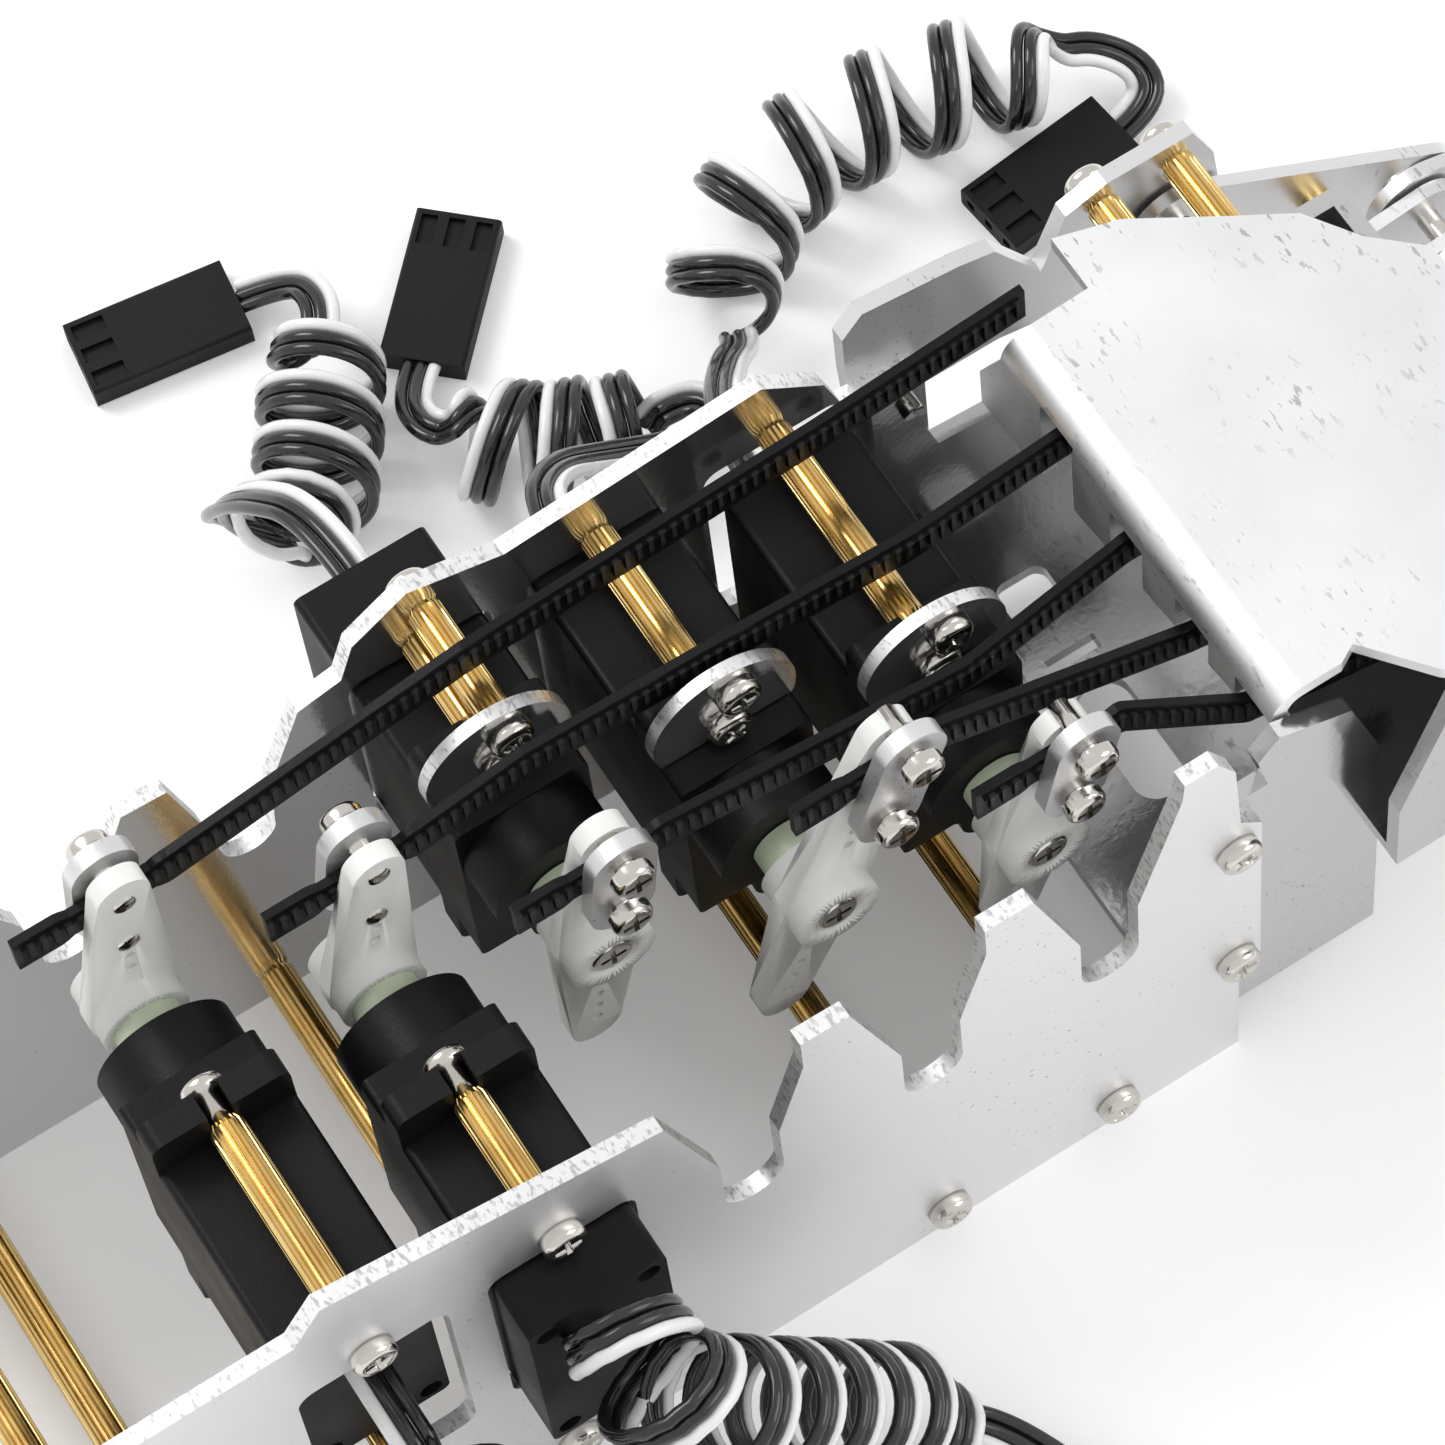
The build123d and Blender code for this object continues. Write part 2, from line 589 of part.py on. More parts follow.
def digit_tip(name):
    """The folded fingertip: a channel whose cheeks turn on the pin."""
    root, length, angle = digit_frame(name)
    low = digit_sides(name)[0] - lug_gap
    reach = tip_lengths[name]
    pivot = (root[0] + length, root[1], root[2])
    cheek = link_outline(reach, finger_h / 2 - 0.8, finger_h / 2 - 1.6)
    block = sheet_xz(Pos(pivot[0], pivot[2]) * cheek, pivot[1] - low, 2 * low)
    between = (pivot[1] - low + finger_t, pivot[1] + low - finger_t)
    inside = box((pivot[0] - 9, pivot[0] + reach - 1.0), between, (pivot[2] - 9, pivot[2] + 1.2))
    clear = box((pivot[0] - 9, pivot[0] + 5.4), between, (pivot[2] - 9, pivot[2] + 9))
    tip = block - inside - clear
    tip -= rod_y(pivot[0], pivot[2], pivot[1] - 9, pivot[1] + 9, pin_d + 2 * running_gap)
    tip = turned(tip, pivot, tip_curl)
    return turned(tip, root, angle)


def knuckle_lugs():
    """Folded lugs that carry the fingers, screwed to the palm's front wall."""
    lugs = []
    for name in finger_ys:
        root = digit_frame(name)[0]
        low = digit_sides(name)[0] - lug_gap
        tongue = link_outline(root[0] - front_wall_x - 1, 3.4, 2.6)
        tongue = Pos(root[0], root[2]) * Rot(0, 0, 180) * tongue
        tongue = tongue - Pos(front_wall_x - 10, root[2]) * Rectangle(20, 30)
        block = sheet_xz(tongue, root[1] - low, 2 * low)
        between = (root[1] - low + finger_t, root[1] + low - finger_t)
        block -= box((front_wall_x + finger_t, root[0] + 9), between, (30, 60))
        block -= rod_y(root[0], root[2], root[1] - 9, root[1] + 9, pin_d)
        lugs.append(block)
    return lugs


def thumb_standoffs():
    """Brass spacers between the palm's cheek and the thumb bracket, each with its screw."""
    pieces = []
    for x, z in thumb_spacers:
        pieces.append(hollow_rod(x, z, palm_far_y, outer_y, rod_d, 3.4))
        pieces.append(pan_screw_y(x, z, outer_y + plate_t, 1, plate_t + 3.0))
        pieces.append(pan_screw_y(x, z, palm_far_y - plate_t, -1, plate_t + 3.0))
    return pieces


def knuckle_pins():
    pins = []
    for name in finger_ys:
        root = digit_frame(name)[0]
        high = digit_sides(name)[1] + 0.1
        rod = rod_y(root[0], root[2], root[1] - high, root[1] + high, pin_d)
        for out in (-1, 1):
            y = sorted((root[1] + out * high, root[1] + out * (high + pin_head_h)))
            rod += rod_y(root[0], root[2], y[0], y[1], pin_head_d)
        pins.append(rod)
    x, z = thumb_root[0], thumb_root[2]
    end = outer_y + plate_t
    rod = rod_y(x, z, palm_far_y - plate_t, end, pin_d)
    pins.append(rod + rod_y(x, z, end, end + pin_head_h, pin_head_d))
    return pins


# Leads: a thin tube where the three wires run flat, a fat one over the coils
# and over the bend into the moulded connector, which points along turn
lead_routes = {
    "middle": dict(
        start=[
            (-47.6, 33.0, 40.0), (-47.6, 41.4, 40.0), (-50.6, 49.0, 33.6), (-51.7, 54.5, 23.0),
            (-49.6, 56.0, 13.5), (-45.0, 55.0, 6.6)],
        coil=[(-45.0, 55.0, 6.6), (-40.5, 60.5, 6.2), (-36.5, 66.5, 6.0), (-33.0, 72.5, 6.0)],
        tail=[(-33.0, 72.5, 6.0), (-30.9, 76.1, 6.0), (-31.6, 80.6, 3.8), (-36.4, 82.4, 1.8)],
        turn=172.0),
    "ring": dict(
        start=[
            (-31.0, 26.2, 34.0), (-31.0, 34.0, 34.0), (-27.0, 39.6, 28.0), (-20.6, 41.6, 19.6),
            (-13.6, 42.8, 12.0), (-8.2, 45.0, 7.6), (-8.6, 49.2, 6.4), (-13.4, 49.8, 6.2)],
        coil=[(-13.4, 49.8, 6.2), (-19.0, 50.6, 6.0), (-24.2, 53.6, 6.0), (-28.0, 58.0, 6.0)],
        tail=[(-28.0, 58.0, 6.0), (-29.9, 60.2, 6.0), (-29.0, 64.4, 3.6), (-26.2, 67.4, 1.8)],
        turn=46.0),
    "little": dict(
        start=[
            (-14.4, 21.4, 32.0), (-14.4, 30.0, 32.0), (-11.6, 38.0, 26.4), (-7.4, 44.4, 18.6),
            (-4.0, 48.8, 10.8), (-2.4, 52.6, 6.0)],
        coil=[
            (-2.4, 52.6, 6.0), (1.4, 60.4, 6.2), (9.6, 64.4, 6.4), (19.0, 64.6, 6.2),
            (28.0, 62.8, 6.0), (35.6, 60.6, 6.0)],
        tail=[
            (35.6, 60.6, 6.0), (39.4, 59.5, 5.8), (42.6, 56.4, 3.6), (41.6, 53.6, 2.2),
            (37.9, 53.0, 1.8)],
        turn=186.0),
    "index": dict(
        start=[],
        coil=[
            (-64.2, -30.4, 40.0), (-64.2, -38.6, 40.0), (-57.6, -40.4, 32.0), (-49.8, -40.4, 19.4),
            (-42.0, -40.6, 6.4)],
        tail=[(-42.0, -40.6, 6.4), (-36.6, -45.0, 3.4), (-34.0, -52.3, 1.8)],
        turn=-90.0),
    "thumb": dict(
        start=[(-80.8, -21.9, 36.0), (-80.8, -31.2, 36.0)],
        coil=[
            (-80.8, -31.2, 36.0), (-80.8, -38.8, 36.0), (-74.0, -41.2, 28.2), (-66.0, -42.0, 17.0),
            (-58.4, -43.0, 6.4)],
        tail=[(-58.4, -43.0, 6.4), (-57.6, -49.4, 3.6), (-63.2, -54.6, 1.8)],
        turn=200.0),
}


def corner_radii(points):
    """The largest arc that each corner's two runs allow."""
    radii = []
    for a, b, c in zip(points, points[1:], points[2:]):
        before, after = Vector(*b) - Vector(*a), Vector(*c) - Vector(*b)
        turn = radians(before.get_angle(after))
        radii.append(0.45 * min(before.length, after.length) / tan(turn / 2))
    return radii


def tube(points, diameter):
    """A round tube on straight runs joined by tangent arcs."""
    radii = corner_radii(points)
    path = FilletPolyline(*points, radius=radii) if radii else Line(*points)
    solid = sweep(Plane(origin=path @ 0, z_dir=path % 0) * Circle(diameter / 2), path=path)
    expected = path.length * pi * diameter**2 / 4
    print("tube", round(path.length, 1), [round(r, 1) for r in radii], round(solid.volume / expected, 4))
    return solid


def lead(digit):
    route = lead_routes[digit]
    solids = [tube(route["coil"], coil_d)]
    for part in ("start", "tail"):
        if route[part]:
            solids.append(tube(route[part], ribbon_d))
    return solids


def connector_shell(digit):
    """The moulded end of a lead: a flat housing with three contact windows."""
    length, width, height = connector
    body = Box(length, width, height)
    body = fillet(body.edges().filter_by(Axis.X), 0.35)
    for step in (-1, 0, 1):
        body -= Pos(length / 2 - 2.0, step * 2.5, height / 2) * Box(3.0, 1.5, 1.0)
        body -= Pos(length / 2, step * 2.5, 0) * Box(6.0, 1.0, 1.0)
    x, y = lead_routes[digit]["tail"][-1][:2]
    return Pos(x, y, height / 2) * Rot(0, 0, lead_routes[digit]["turn"]) * Pos(length / 2, 0, 0) * body


for digit in digits:
    save(f"servo_case_{digit}", servo_case(digit))
    save(f"output_shaft_{digit}", output_shaft(digit))
    save(f"horn_{digit}", horn(digit))
    save(f"strap_clip_{digit}", *strap_clip(digit))
    save(f"strap_{digit}", strap(digit))
    save(f"proximal_links_{digit}", *proximal_links(digit))
    save(f"proximal_pins_{digit}", *proximal_pins(digit))
    save(f"tip_{digit}", digit_tip(digit))

save("servo_bottom_covers", *[servo_bottom(d) for d in digits])
save("near_side_plate", near_plate())
save("far_side_plate", far_plate())
save("servo_retainers", *[retainer(d) for d in far_digits])
save("servo_standoffs", *standoffs())
save("cross_ties", *[hollow_rod(x, z, -inner_y, inner_y, tie_d) for x, z in tie_places])
save("frame_screws", *frame_screws())
save("ear_screws", *ear_screws())
save("palm_base", palm_base())
save("palm_cover", palm_cover())
save("thumb_bracket", thumb_bracket())
save("knuckle_lugs", *knuckle_lugs())
save("knuckle_pins", *knuckle_pins())
save("thumb_standoffs", *thumb_standoffs())
for digit in digits:
    save(f"lead_{digit}", *lead(digit))
save("lead_connectors", *[connector_shell(d) for d in digits])
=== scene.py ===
from math import cos, pi, radians, sin

import bmesh
import bpy
from mathutils import Matrix, Vector


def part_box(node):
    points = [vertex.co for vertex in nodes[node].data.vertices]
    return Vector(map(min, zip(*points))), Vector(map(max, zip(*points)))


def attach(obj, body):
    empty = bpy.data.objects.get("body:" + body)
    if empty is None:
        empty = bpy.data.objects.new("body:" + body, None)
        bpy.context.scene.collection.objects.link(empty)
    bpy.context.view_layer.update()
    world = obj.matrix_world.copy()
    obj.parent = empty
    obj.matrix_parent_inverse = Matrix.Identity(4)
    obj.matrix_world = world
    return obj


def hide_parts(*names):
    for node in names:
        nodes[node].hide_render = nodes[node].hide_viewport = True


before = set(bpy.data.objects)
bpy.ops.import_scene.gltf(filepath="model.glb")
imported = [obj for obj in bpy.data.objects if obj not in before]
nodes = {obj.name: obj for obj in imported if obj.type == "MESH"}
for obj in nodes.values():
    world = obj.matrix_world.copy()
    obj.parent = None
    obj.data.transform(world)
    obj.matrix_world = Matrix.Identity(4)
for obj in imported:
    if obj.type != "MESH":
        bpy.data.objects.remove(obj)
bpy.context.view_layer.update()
digits = ["little", "ring", "middle", "index", "thumb"]


# The side plates, palm sheets and brackets are punched and folded from 1.5 mm aluminium.
# Their faces are rolled, nearly white and lightly scratched, and their sheared edges are
# brighter and rougher than the faces.
def new_material(name, colour, metallic, roughness):
    material = bpy.data.materials.new(name)
    material.use_nodes = True
    surface = material.node_tree.nodes["Principled BSDF"]
    surface.inputs["Base Color"].default_value = (*colour, 1)
    surface.inputs["Metallic"].default_value = metallic
    surface.inputs["Roughness"].default_value = roughness
    return material, material.node_tree, surface


def noise(tree, scale, detail=3.0, stretch=(1, 1, 1), turn=(0, 0, 0)):
    """A noise field on the object's own coordinates, in cycles per metre."""
    place = tree.nodes.new("ShaderNodeTexCoord")
    mapping = tree.nodes.new("ShaderNodeMapping")
    mapping.inputs["Scale"].default_value = stretch
    mapping.inputs["Rotation"].default_value = turn
    field = tree.nodes.new("ShaderNodeTexNoise")
    field.inputs["Scale"].default_value = scale
    field.inputs["Detail"].default_value = detail
    tree.links.new(place.outputs["Object"], mapping.inputs["Vector"])
    tree.links.new(mapping.outputs["Vector"], field.inputs["Vector"])
    return field.outputs["Fac"]


def ramp(tree, source, stops):
    """A colour ramp: each stop is a place from 0 to 1 and a grey or a colour."""
    node = tree.nodes.new("ShaderNodeValToRGB")
    while len(node.color_ramp.elements) < len(stops):
        node.color_ramp.elements.new(0.5)
    for element, (place, colour) in zip(node.color_ramp.elements, stops):
        element.position = place
        rgb = colour if isinstance(colour, tuple) else (colour, colour, colour)
        element.color = (*rgb, 1)
    tree.links.new(source, node.inputs["Fac"])
    return node.outputs["Color"]


def bump(tree, surface, height, strength, distance):
    node = tree.nodes.new("ShaderNodeBump")
    node.inputs["Strength"].default_value = strength
    node.inputs["Distance"].default_value = distance
    tree.links.new(height, node.inputs["Height"])
    tree.links.new(node.outputs["Normal"], surface.inputs["Normal"])


def product(tree, first, second):
    """Two values multiplied, where the second may be a plain number."""
    node = tree.nodes.new("ShaderNodeMath")
    node.operation = "MULTIPLY"
    tree.links.new(first, node.inputs[0])
    if isinstance(second, (int, float)):
        node.inputs[1].default_value = second
    else:
        tree.links.new(second, node.inputs[1])
    return node.outputs["Value"]


def mixed(tree, share, first, second):
    """The first colour where the share is 0, and the second where it is 1."""
    node = tree.nodes.new("ShaderNodeMixRGB")
    tree.links.new(share, node.inputs["Fac"])
    for socket, colour in (("Color1", first), ("Color2", second)):
        if isinstance(colour, tuple):
            node.inputs[socket].default_value = (*colour, 1)
        else:
            tree.links.new(colour, node.inputs[socket])
    return node.outputs["Color"]


def sheet_aluminium(name, grey, roughness, scratch_share, polished_side=0):
    """Rolled sheet. With a polished side, the faces that point there along Y are mirror bright,
    and the faces that don't point along Y are sheared edges."""
    material, tree, surface = new_material(name, (grey, grey, grey), 0.94, roughness)
    nicks = noise(tree, 1900, 10.0, (1.0, 0.35, 1.0), (0.3, 0.2, 0.9))
    marks = ramp(tree, nicks, [(0.0, 1.0), (scratch_share, 1.0), (scratch_share + 0.015, 0.0), (1.0, 0.0)])
    patches = ramp(tree, noise(tree, 70, 3.0), [(0.45, 0.0), (0.6, 0.8)])
    clean = (grey, grey, grey * 1.01)
    worn = (grey * 0.5, grey * 0.49, grey * 0.48)
    tint = mixed(tree, product(tree, marks, patches), clean, worn)
    dull = ramp(tree, noise(tree, 60, 4.0), [(0.3, roughness * 0.85), (0.7, roughness * 1.2)])
    if polished_side:
        facing = tree.nodes.new("ShaderNodeNewGeometry")
        normal = tree.nodes.new("ShaderNodeSeparateXYZ")
        tree.links.new(facing.outputs["True Normal"], normal.inputs["Vector"])
        towards = product(tree, normal.outputs["Y"], polished_side)
        dull = product(tree, dull, ramp(tree, towards, [(0.85, 1.0), (0.95, 0.28)]))
        flat = tree.nodes.new("ShaderNodeMath")
        flat.operation = "ABSOLUTE"
        tree.links.new(normal.outputs["Y"], flat.inputs[0])
        sheared = ramp(tree, flat.outputs["Value"], [(0.3, 1.0), (0.6, 0.0)])
        torn = ramp(tree, noise(tree, 2600, 8.0, (1.0, 0.5, 1.0)), [(0.36, 0.6), (0.48, 0.97)])
        tint = mixed(tree, sheared, tint, torn)
    tree.links.new(tint, surface.inputs["Base Color"])
    tree.links.new(dull, surface.inputs["Roughness"])
    bump(tree, surface, noise(tree, 1500, 2.0), 0.10, 0.0001)
    return material


def dress(names, material):
    for name in names:
        for slot in nodes[name].material_slots:
            slot.material = material


link_metal = sheet_aluminium("link_metal", 0.82, 0.36, 0.34)
dress(["near_side_plate"], sheet_aluminium("near_metal", 0.88, 0.46, 0.315, 1))
dress(["far_side_plate"], sheet_aluminium("far_metal", 0.86, 0.46, 0.315, -1))
# The palm base is the same aluminium as the other sheets. Its low roughness is its polish, which lets it
# mirror the dark parts around it, and its darker grey is painted shade for the inside of the palm.
dress(["palm_base"], sheet_aluminium("base_metal_painted_shade", 0.66, 0.13, 0.34))
dress(["palm_cover"], sheet_aluminium("cover_metal", 0.89, 0.44, 0.36))
dress(["servo_retainers"], sheet_aluminium("retainer_metal", 0.78, 0.42, 0.34, -1))
dress(["thumb_bracket", "knuckle_lugs"], link_metal)
dress([f"proximal_links_{d}" for d in digits] + [f"tip_{d}" for d in digits], link_metal)


# The servo cases are moulded black plastic with a fine spark-eroded grain, closed by a bottom
# cover that four small screws hold.
def moulded_black(name, grey, roughness):
    material, tree, surface = new_material(name, (grey, grey, grey * 1.03), 0.0, roughness)
    surface.inputs["Specular IOR Level"].default_value = 0.2
    worn = ramp(tree, noise(tree, 90, 5.0), [(0.3, roughness * 0.85), (0.75, roughness * 1.25)])
    tree.links.new(worn, surface.inputs["Roughness"])
    bump(tree, surface, noise(tree, 2600, 2.0), 0.25, 0.00008)
    return material


dress([f"servo_case_{d}" for d in digits], moulded_black("case_black", 0.006, 0.40))
dress(["servo_bottom_covers"], moulded_black("cover_black", 0.005, 0.46))


# The output shafts carry a pale green collar. The horns are moulded in natural nylon, white and
# a little translucent, with a row of small holes along each arm.
def natural_nylon(name, colour, depth):
    material, tree, surface = new_material(name, colour, 0.0, 0.36)
    surface.inputs["Subsurface Weight"].default_value = 0.35
    surface.inputs["Subsurface Radius"].default_value = (depth, depth, depth)
    milk = ramp(tree, noise(tree, 160, 3.0), [(0.35, tuple(c * 0.95 for c in colour)), (0.65, colour)])
    tree.links.new(milk, surface.inputs["Base Color"])
    bump(tree, surface, noise(tree, 900, 2.0), 0.06, 0.0001)
    return material


horn_nylon = natural_nylon("horn_nylon", (0.86, 0.87, 0.84), 0.0012)
collar_green = natural_nylon("collar_green", (0.62, 0.70, 0.52), 0.0006)
dress([f"output_shaft_{d}" for d in digits], collar_green)
shaft_height = 0.0381
arm_hole_radius = 0.0005
drill_length = 0.008
# How far each horn leans, and where along its arms the small holes are
horn_arms = {
    "little": (12, [-0.0075, -0.0095, -0.0115]),
    "ring": (19, [-0.0075, -0.0095, -0.0115, -0.0135, 0.0075, 0.0095, 0.0115]),
    "middle": (7, [-0.0075, -0.0095, -0.0115, -0.0135]),
    "index": (9, [0.0065, 0.0085]),
    "thumb": (6, [0.0065, 0.0085]),
}


def only(piece):
    """Select this piece alone and make it the active one."""
    bpy.ops.object.select_all(action="DESELECT")
    piece.select_set(True)
    bpy.context.view_layer.objects.active = piece


def copy_of(node, name):
    """A merged copy of a node's mesh, as a piece of its own."""
    piece = bpy.data.objects.new(name, nodes[node].data.copy())
    bpy.context.collection.objects.link(piece)
    only(piece)
    bpy.ops.object.mode_set(mode="EDIT")
    bpy.ops.mesh.select_all(action="SELECT")
    bpy.ops.mesh.remove_doubles(threshold=0.000001)
    bpy.ops.object.mode_set(mode="OBJECT")
    return piece


def joined(pieces, name):
    only(pieces[0])
    for piece in pieces:
        piece.select_set(True)
    bpy.ops.object.join()
    whole = bpy.context.view_layer.objects.active
    whole.name = name
    bpy.ops.object.transform_apply(location=True, rotation=True, scale=True)
    return whole


def cut_with(piece, cutter):
    """Take the cutter's shape out of the piece."""
    only(piece)
    cut = piece.modifiers.new("cut", "BOOLEAN")
    cut.object = cutter
    cut.operation = "DIFFERENCE"
    cut.solver = "EXACT"
    bpy.ops.object.modifier_apply(modifier="cut")
    bpy.data.objects.remove(cutter, do_unlink=True)


def only_material(piece, material):
    piece.data.materials.clear()
    piece.data.materials.append(material)


def smooth(piece, angle=35):
    only(piece)
    bpy.ops.object.shade_smooth_by_angle(angle=radians(angle))


def rod_along_y(place, radius, length, vertices=16):
    bpy.ops.mesh.primitive_cylinder_add(
        vertices=vertices, radius=radius, depth=length, location=place, rotation=(pi / 2, 0, 0))
    return bpy.context.view_layer.objects.active


def middle_of(node):
    low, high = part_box(node)
    return (Vector(low) + Vector(high)) / 2


def on_arm(digit, reach, y):
    """The place at this reach from the shaft along a horn's leaning arm."""
    lean = radians(horn_arms[digit][0])
    x = middle_of(f"output_shaft_{digit}").x + reach * sin(lean)
    return Vector((x, y, shaft_height + reach * cos(lean)))


def horn_side(digit):
    """Which way along Y a horn stands out from its servo."""
    return 1 if middle_of(f"horn_{digit}").y > middle_of(f"output_shaft_{digit}").y else -1


for digit in digits:
    horn = copy_of(f"horn_{digit}", f"horn_{digit}_moulded")
    drills = []
    for reach in horn_arms[digit][1]:
        place = on_arm(digit, reach, middle_of(f"horn_{digit}").y)
        drills.append(rod_along_y(place, arm_hole_radius, drill_length, 10))
    cut_with(horn, joined(drills, "drills"))
    only_material(horn, horn_nylon)
    smooth(horn)
    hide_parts(f"horn_{digit}")
    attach(horn, f"horn_{digit}_body")


# Every screw is a nickel-plated pan head with a cross recess, pressed into the head after it was
# formed. The frame screws hold the rods, the ear screws the servos.
def nickel(name, colour, roughness):
    material, tree, surface = new_material(name, colour, 1.0, roughness)
    tree.links.new(
        ramp(tree, noise(tree, 700, 3.0), [(0.35, roughness * 0.7), (0.7, roughness * 1.5)]),
        surface.inputs["Roughness"])
    bump(tree, surface, noise(tree, 1800, 2.0), 0.08, 0.0001)
    return material


screw_nickel = nickel("screw_nickel", (0.72, 0.69, 0.64), 0.16)
recess_long = 0.0023
recess_wide = 0.00046
recess_deep = 0.0009
recess_step = 0.7
head_end = 0.0012
largest_head = 0.0043


def separated(piece):
    """The loose solids of a piece, each as a piece of its own."""
    only(piece)
    bpy.ops.mesh.separate(type="LOOSE")
    return list(bpy.context.selected_objects)


def corners(piece):
    """The lowest and highest corner of a piece."""
    points = [v.co for v in piece.data.vertices]
    low = Vector([min(p[i] for p in points) for i in range(3)])
    high = Vector([max(p[i] for p in points) for i in range(3)])
    return low, high


def solid_boxes(node):
    """The lowest and highest corner of each separate solid in a node."""
    boxes = []
    for part in separated(copy_of(node, "pattern")):
        boxes.append(corners(part))
        bpy.data.objects.remove(part, do_unlink=True)
    return boxes


def head_out(piece, low, high):
    """Which way along Y a screw's head points: the end with the wider ring of points."""
    middle = (low + high) / 2
    reach = {1: 0.0, -1: 0.0}
    for vertex in piece.data.vertices:
        p = vertex.co
        if low.x <= p.x <= high.x and low.y <= p.y <= high.y and low.z <= p.z <= high.z:
            end = 1 if p.y > high.y - head_end else -1 if p.y < low.y + head_end else 0
            if end:
                radius = ((p.x - middle.x) ** 2 + (p.z - middle.z) ** 2) ** 0.5
                reach[end] = max(reach[end], radius)
    return 1 if reach[1] > reach[-1] else -1


def cut_crosses(piece, heads, share=1.0):
    """Press a cross recess into each head at its top, each turned on from the one before."""
    for turn in (0, pi / 2):
        blades = []
        for index, place in enumerate(heads):
            bpy.ops.mesh.primitive_cube_add(
                size=1, location=place, rotation=(0, turn + recess_step * index, 0),
                scale=(recess_long * share, 2 * recess_deep * share, recess_wide * share))
            blades.append(bpy.context.view_layer.objects.active)
        cut_with(piece, joined(blades, "blades"))


def head_top(piece, low, high):
    """The middle of the top of a screw's head."""
    middle = (low + high) / 2
    return Vector((middle.x, high.y if head_out(piece, low, high) > 0 else low.y, middle.z))


for node in ("frame_screws", "ear_screws"):
    screws = copy_of(node, f"{node}_recessed")
    heads = []
    for low, high in solid_boxes(node):
        if max(high.x - low.x, high.z - low.z) < largest_head:
            heads.append(head_top(screws, low, high))
    cut_crosses(screws, heads)
    smooth(screws)
    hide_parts(node)
    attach(screws, "base")
    only_material(screws, screw_nickel)

dress(["knuckle_pins"], screw_nickel)


# Four small nickel screws with cross recesses close the bottom cover of each servo. They stand
# on the floors of round recesses in the cover's corners.
corner_inset = 0.0016
corner_depth = 0.0012
case_screw_radius = 0.00085
case_screw_height = 0.0006
case_screws, heads = [], []
for low, high in solid_boxes("servo_bottom_covers"):
    out = 1 if low.y + high.y > 0 else -1
    top = (high.y if out > 0 else low.y) - out * (corner_depth - case_screw_height)
    for x in (low.x + corner_inset, high.x - corner_inset):
        for z in (low.z + corner_inset, high.z - corner_inset):
            place = Vector((x, top - out * case_screw_height / 2, z))
            case_screws.append(rod_along_y(place, case_screw_radius, case_screw_height, 24))
            heads.append(Vector((x, top, z)))
case_screws = joined(case_screws, "case_screws")
cut_crosses(case_screws, heads, 0.5)
only_material(case_screws, screw_nickel)
smooth(case_screws)
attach(case_screws, "base")


# Each clip is a small round-ended aluminium link. Two pan-head screws pull it towards the horn,
# so that it pinches the strap.
tolerance = 0.00001


def pan_head(name, seat, out, radius, height):
    """A round head with a domed rim that stands on its seat and faces out along Y."""
    head = rod_along_y(seat + Vector((0, out * height / 2, 0)), radius, height, 40)
    bpy.ops.object.transform_apply(location=True, rotation=True, scale=True)
    only(head)
    bpy.ops.object.mode_set(mode="EDIT")
    bpy.ops.mesh.select_all(action="DESELECT")
    cage = bmesh.from_edit_mesh(head.data)
    top = seat.y + out * height
    for edge in cage.edges:
        edge.select_set(all(abs(v.co.y - top) < tolerance for v in edge.verts))
    cage.select_flush_mode()
    bpy.ops.mesh.bevel(offset=height * 0.5, segments=5)
    bpy.ops.object.mode_set(mode="OBJECT")
    cut_crosses(head, [Vector((seat.x, top, seat.z))])
    head.name = name
    only_material(head, screw_nickel)
    smooth(head)
    return head


# How far each clip's two screws are from the shaft
clip_reaches = {
    "little": (0.0106, 0.0170), "ring": (0.0149, 0.0232), "middle": (0.0103, 0.0167),
    "index": (0.0103, 0.0167), "thumb": (0.0109, 0.0173)}
clip_head_radius = 0.0018
clip_head_height = 0.0013
clip_thickness = 0.0015
clip_shank_radius = 0.0009
head_stand_off = 0.0006
shank_reach = 0.0046
for digit in digits:
    clip = copy_of(f"strap_clip_{digit}", f"strap_clip_{digit}_screwed")
    low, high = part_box(f"strap_clip_{digit}")
    out = horn_side(digit)
    face_y = (high[1] if out > 0 else low[1]) - out * clip_head_height
    only_material(clip, link_metal)
    clip.data.materials.append(screw_nickel)
    only(clip)
    bpy.ops.object.mode_set(mode="EDIT")
    bpy.ops.mesh.select_all(action="DESELECT")
    cage = bmesh.from_edit_mesh(clip.data)
    for face in cage.faces:
        depth = (face_y - face.calc_center_median().y) * out
        under_head = depth < tolerance and face.normal.y * out < -0.5
        face.select_set(depth < -tolerance or under_head)
        face.material_index = 1 if depth > clip_thickness + tolerance else 0
    bmesh.update_edit_mesh(clip.data)
    bpy.ops.mesh.delete(type="FACE")
    bpy.ops.object.mode_set(mode="OBJECT")
    for vertex in clip.data.vertices:
        if (face_y - vertex.co.y) * out > shank_reach:
            vertex.co.y = face_y - out * shank_reach
    smooth(clip)
    parts = [clip]
    for reach in clip_reaches[digit]:
        seat = on_arm(digit, reach, face_y)
        shank = rod_along_y(seat, clip_shank_radius, 2 * head_stand_off)
        only_material(shank, screw_nickel)
        seat.y += out * head_stand_off
        parts += [shank, pan_head("clip_head", seat, out, clip_head_radius, clip_head_height)]
    clip = joined(parts, f"strap_clip_{digit}_screwed")
    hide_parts(f"strap_clip_{digit}")
    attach(clip, f"horn_{digit}_body")


# A larger nickel screw with a pan head holds each horn on its spline. It sits in the hub's
# round recess, level with the hub's face.
hub_recess_depth = 0.0011
hub_screw_radius = 0.0020
hub_screw_height = 0.0011
for digit in digits:
    low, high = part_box(f"horn_{digit}")
    out = horn_side(digit)
    hub_face = high[1] if out > 0 else low[1]
    seat = on_arm(digit, 0, hub_face - out * hub_recess_depth)
    screw = pan_head(f"horn_screw_{digit}", seat, out, hub_screw_radius, hub_screw_height)
    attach(screw, f"horn_{digit}_body")


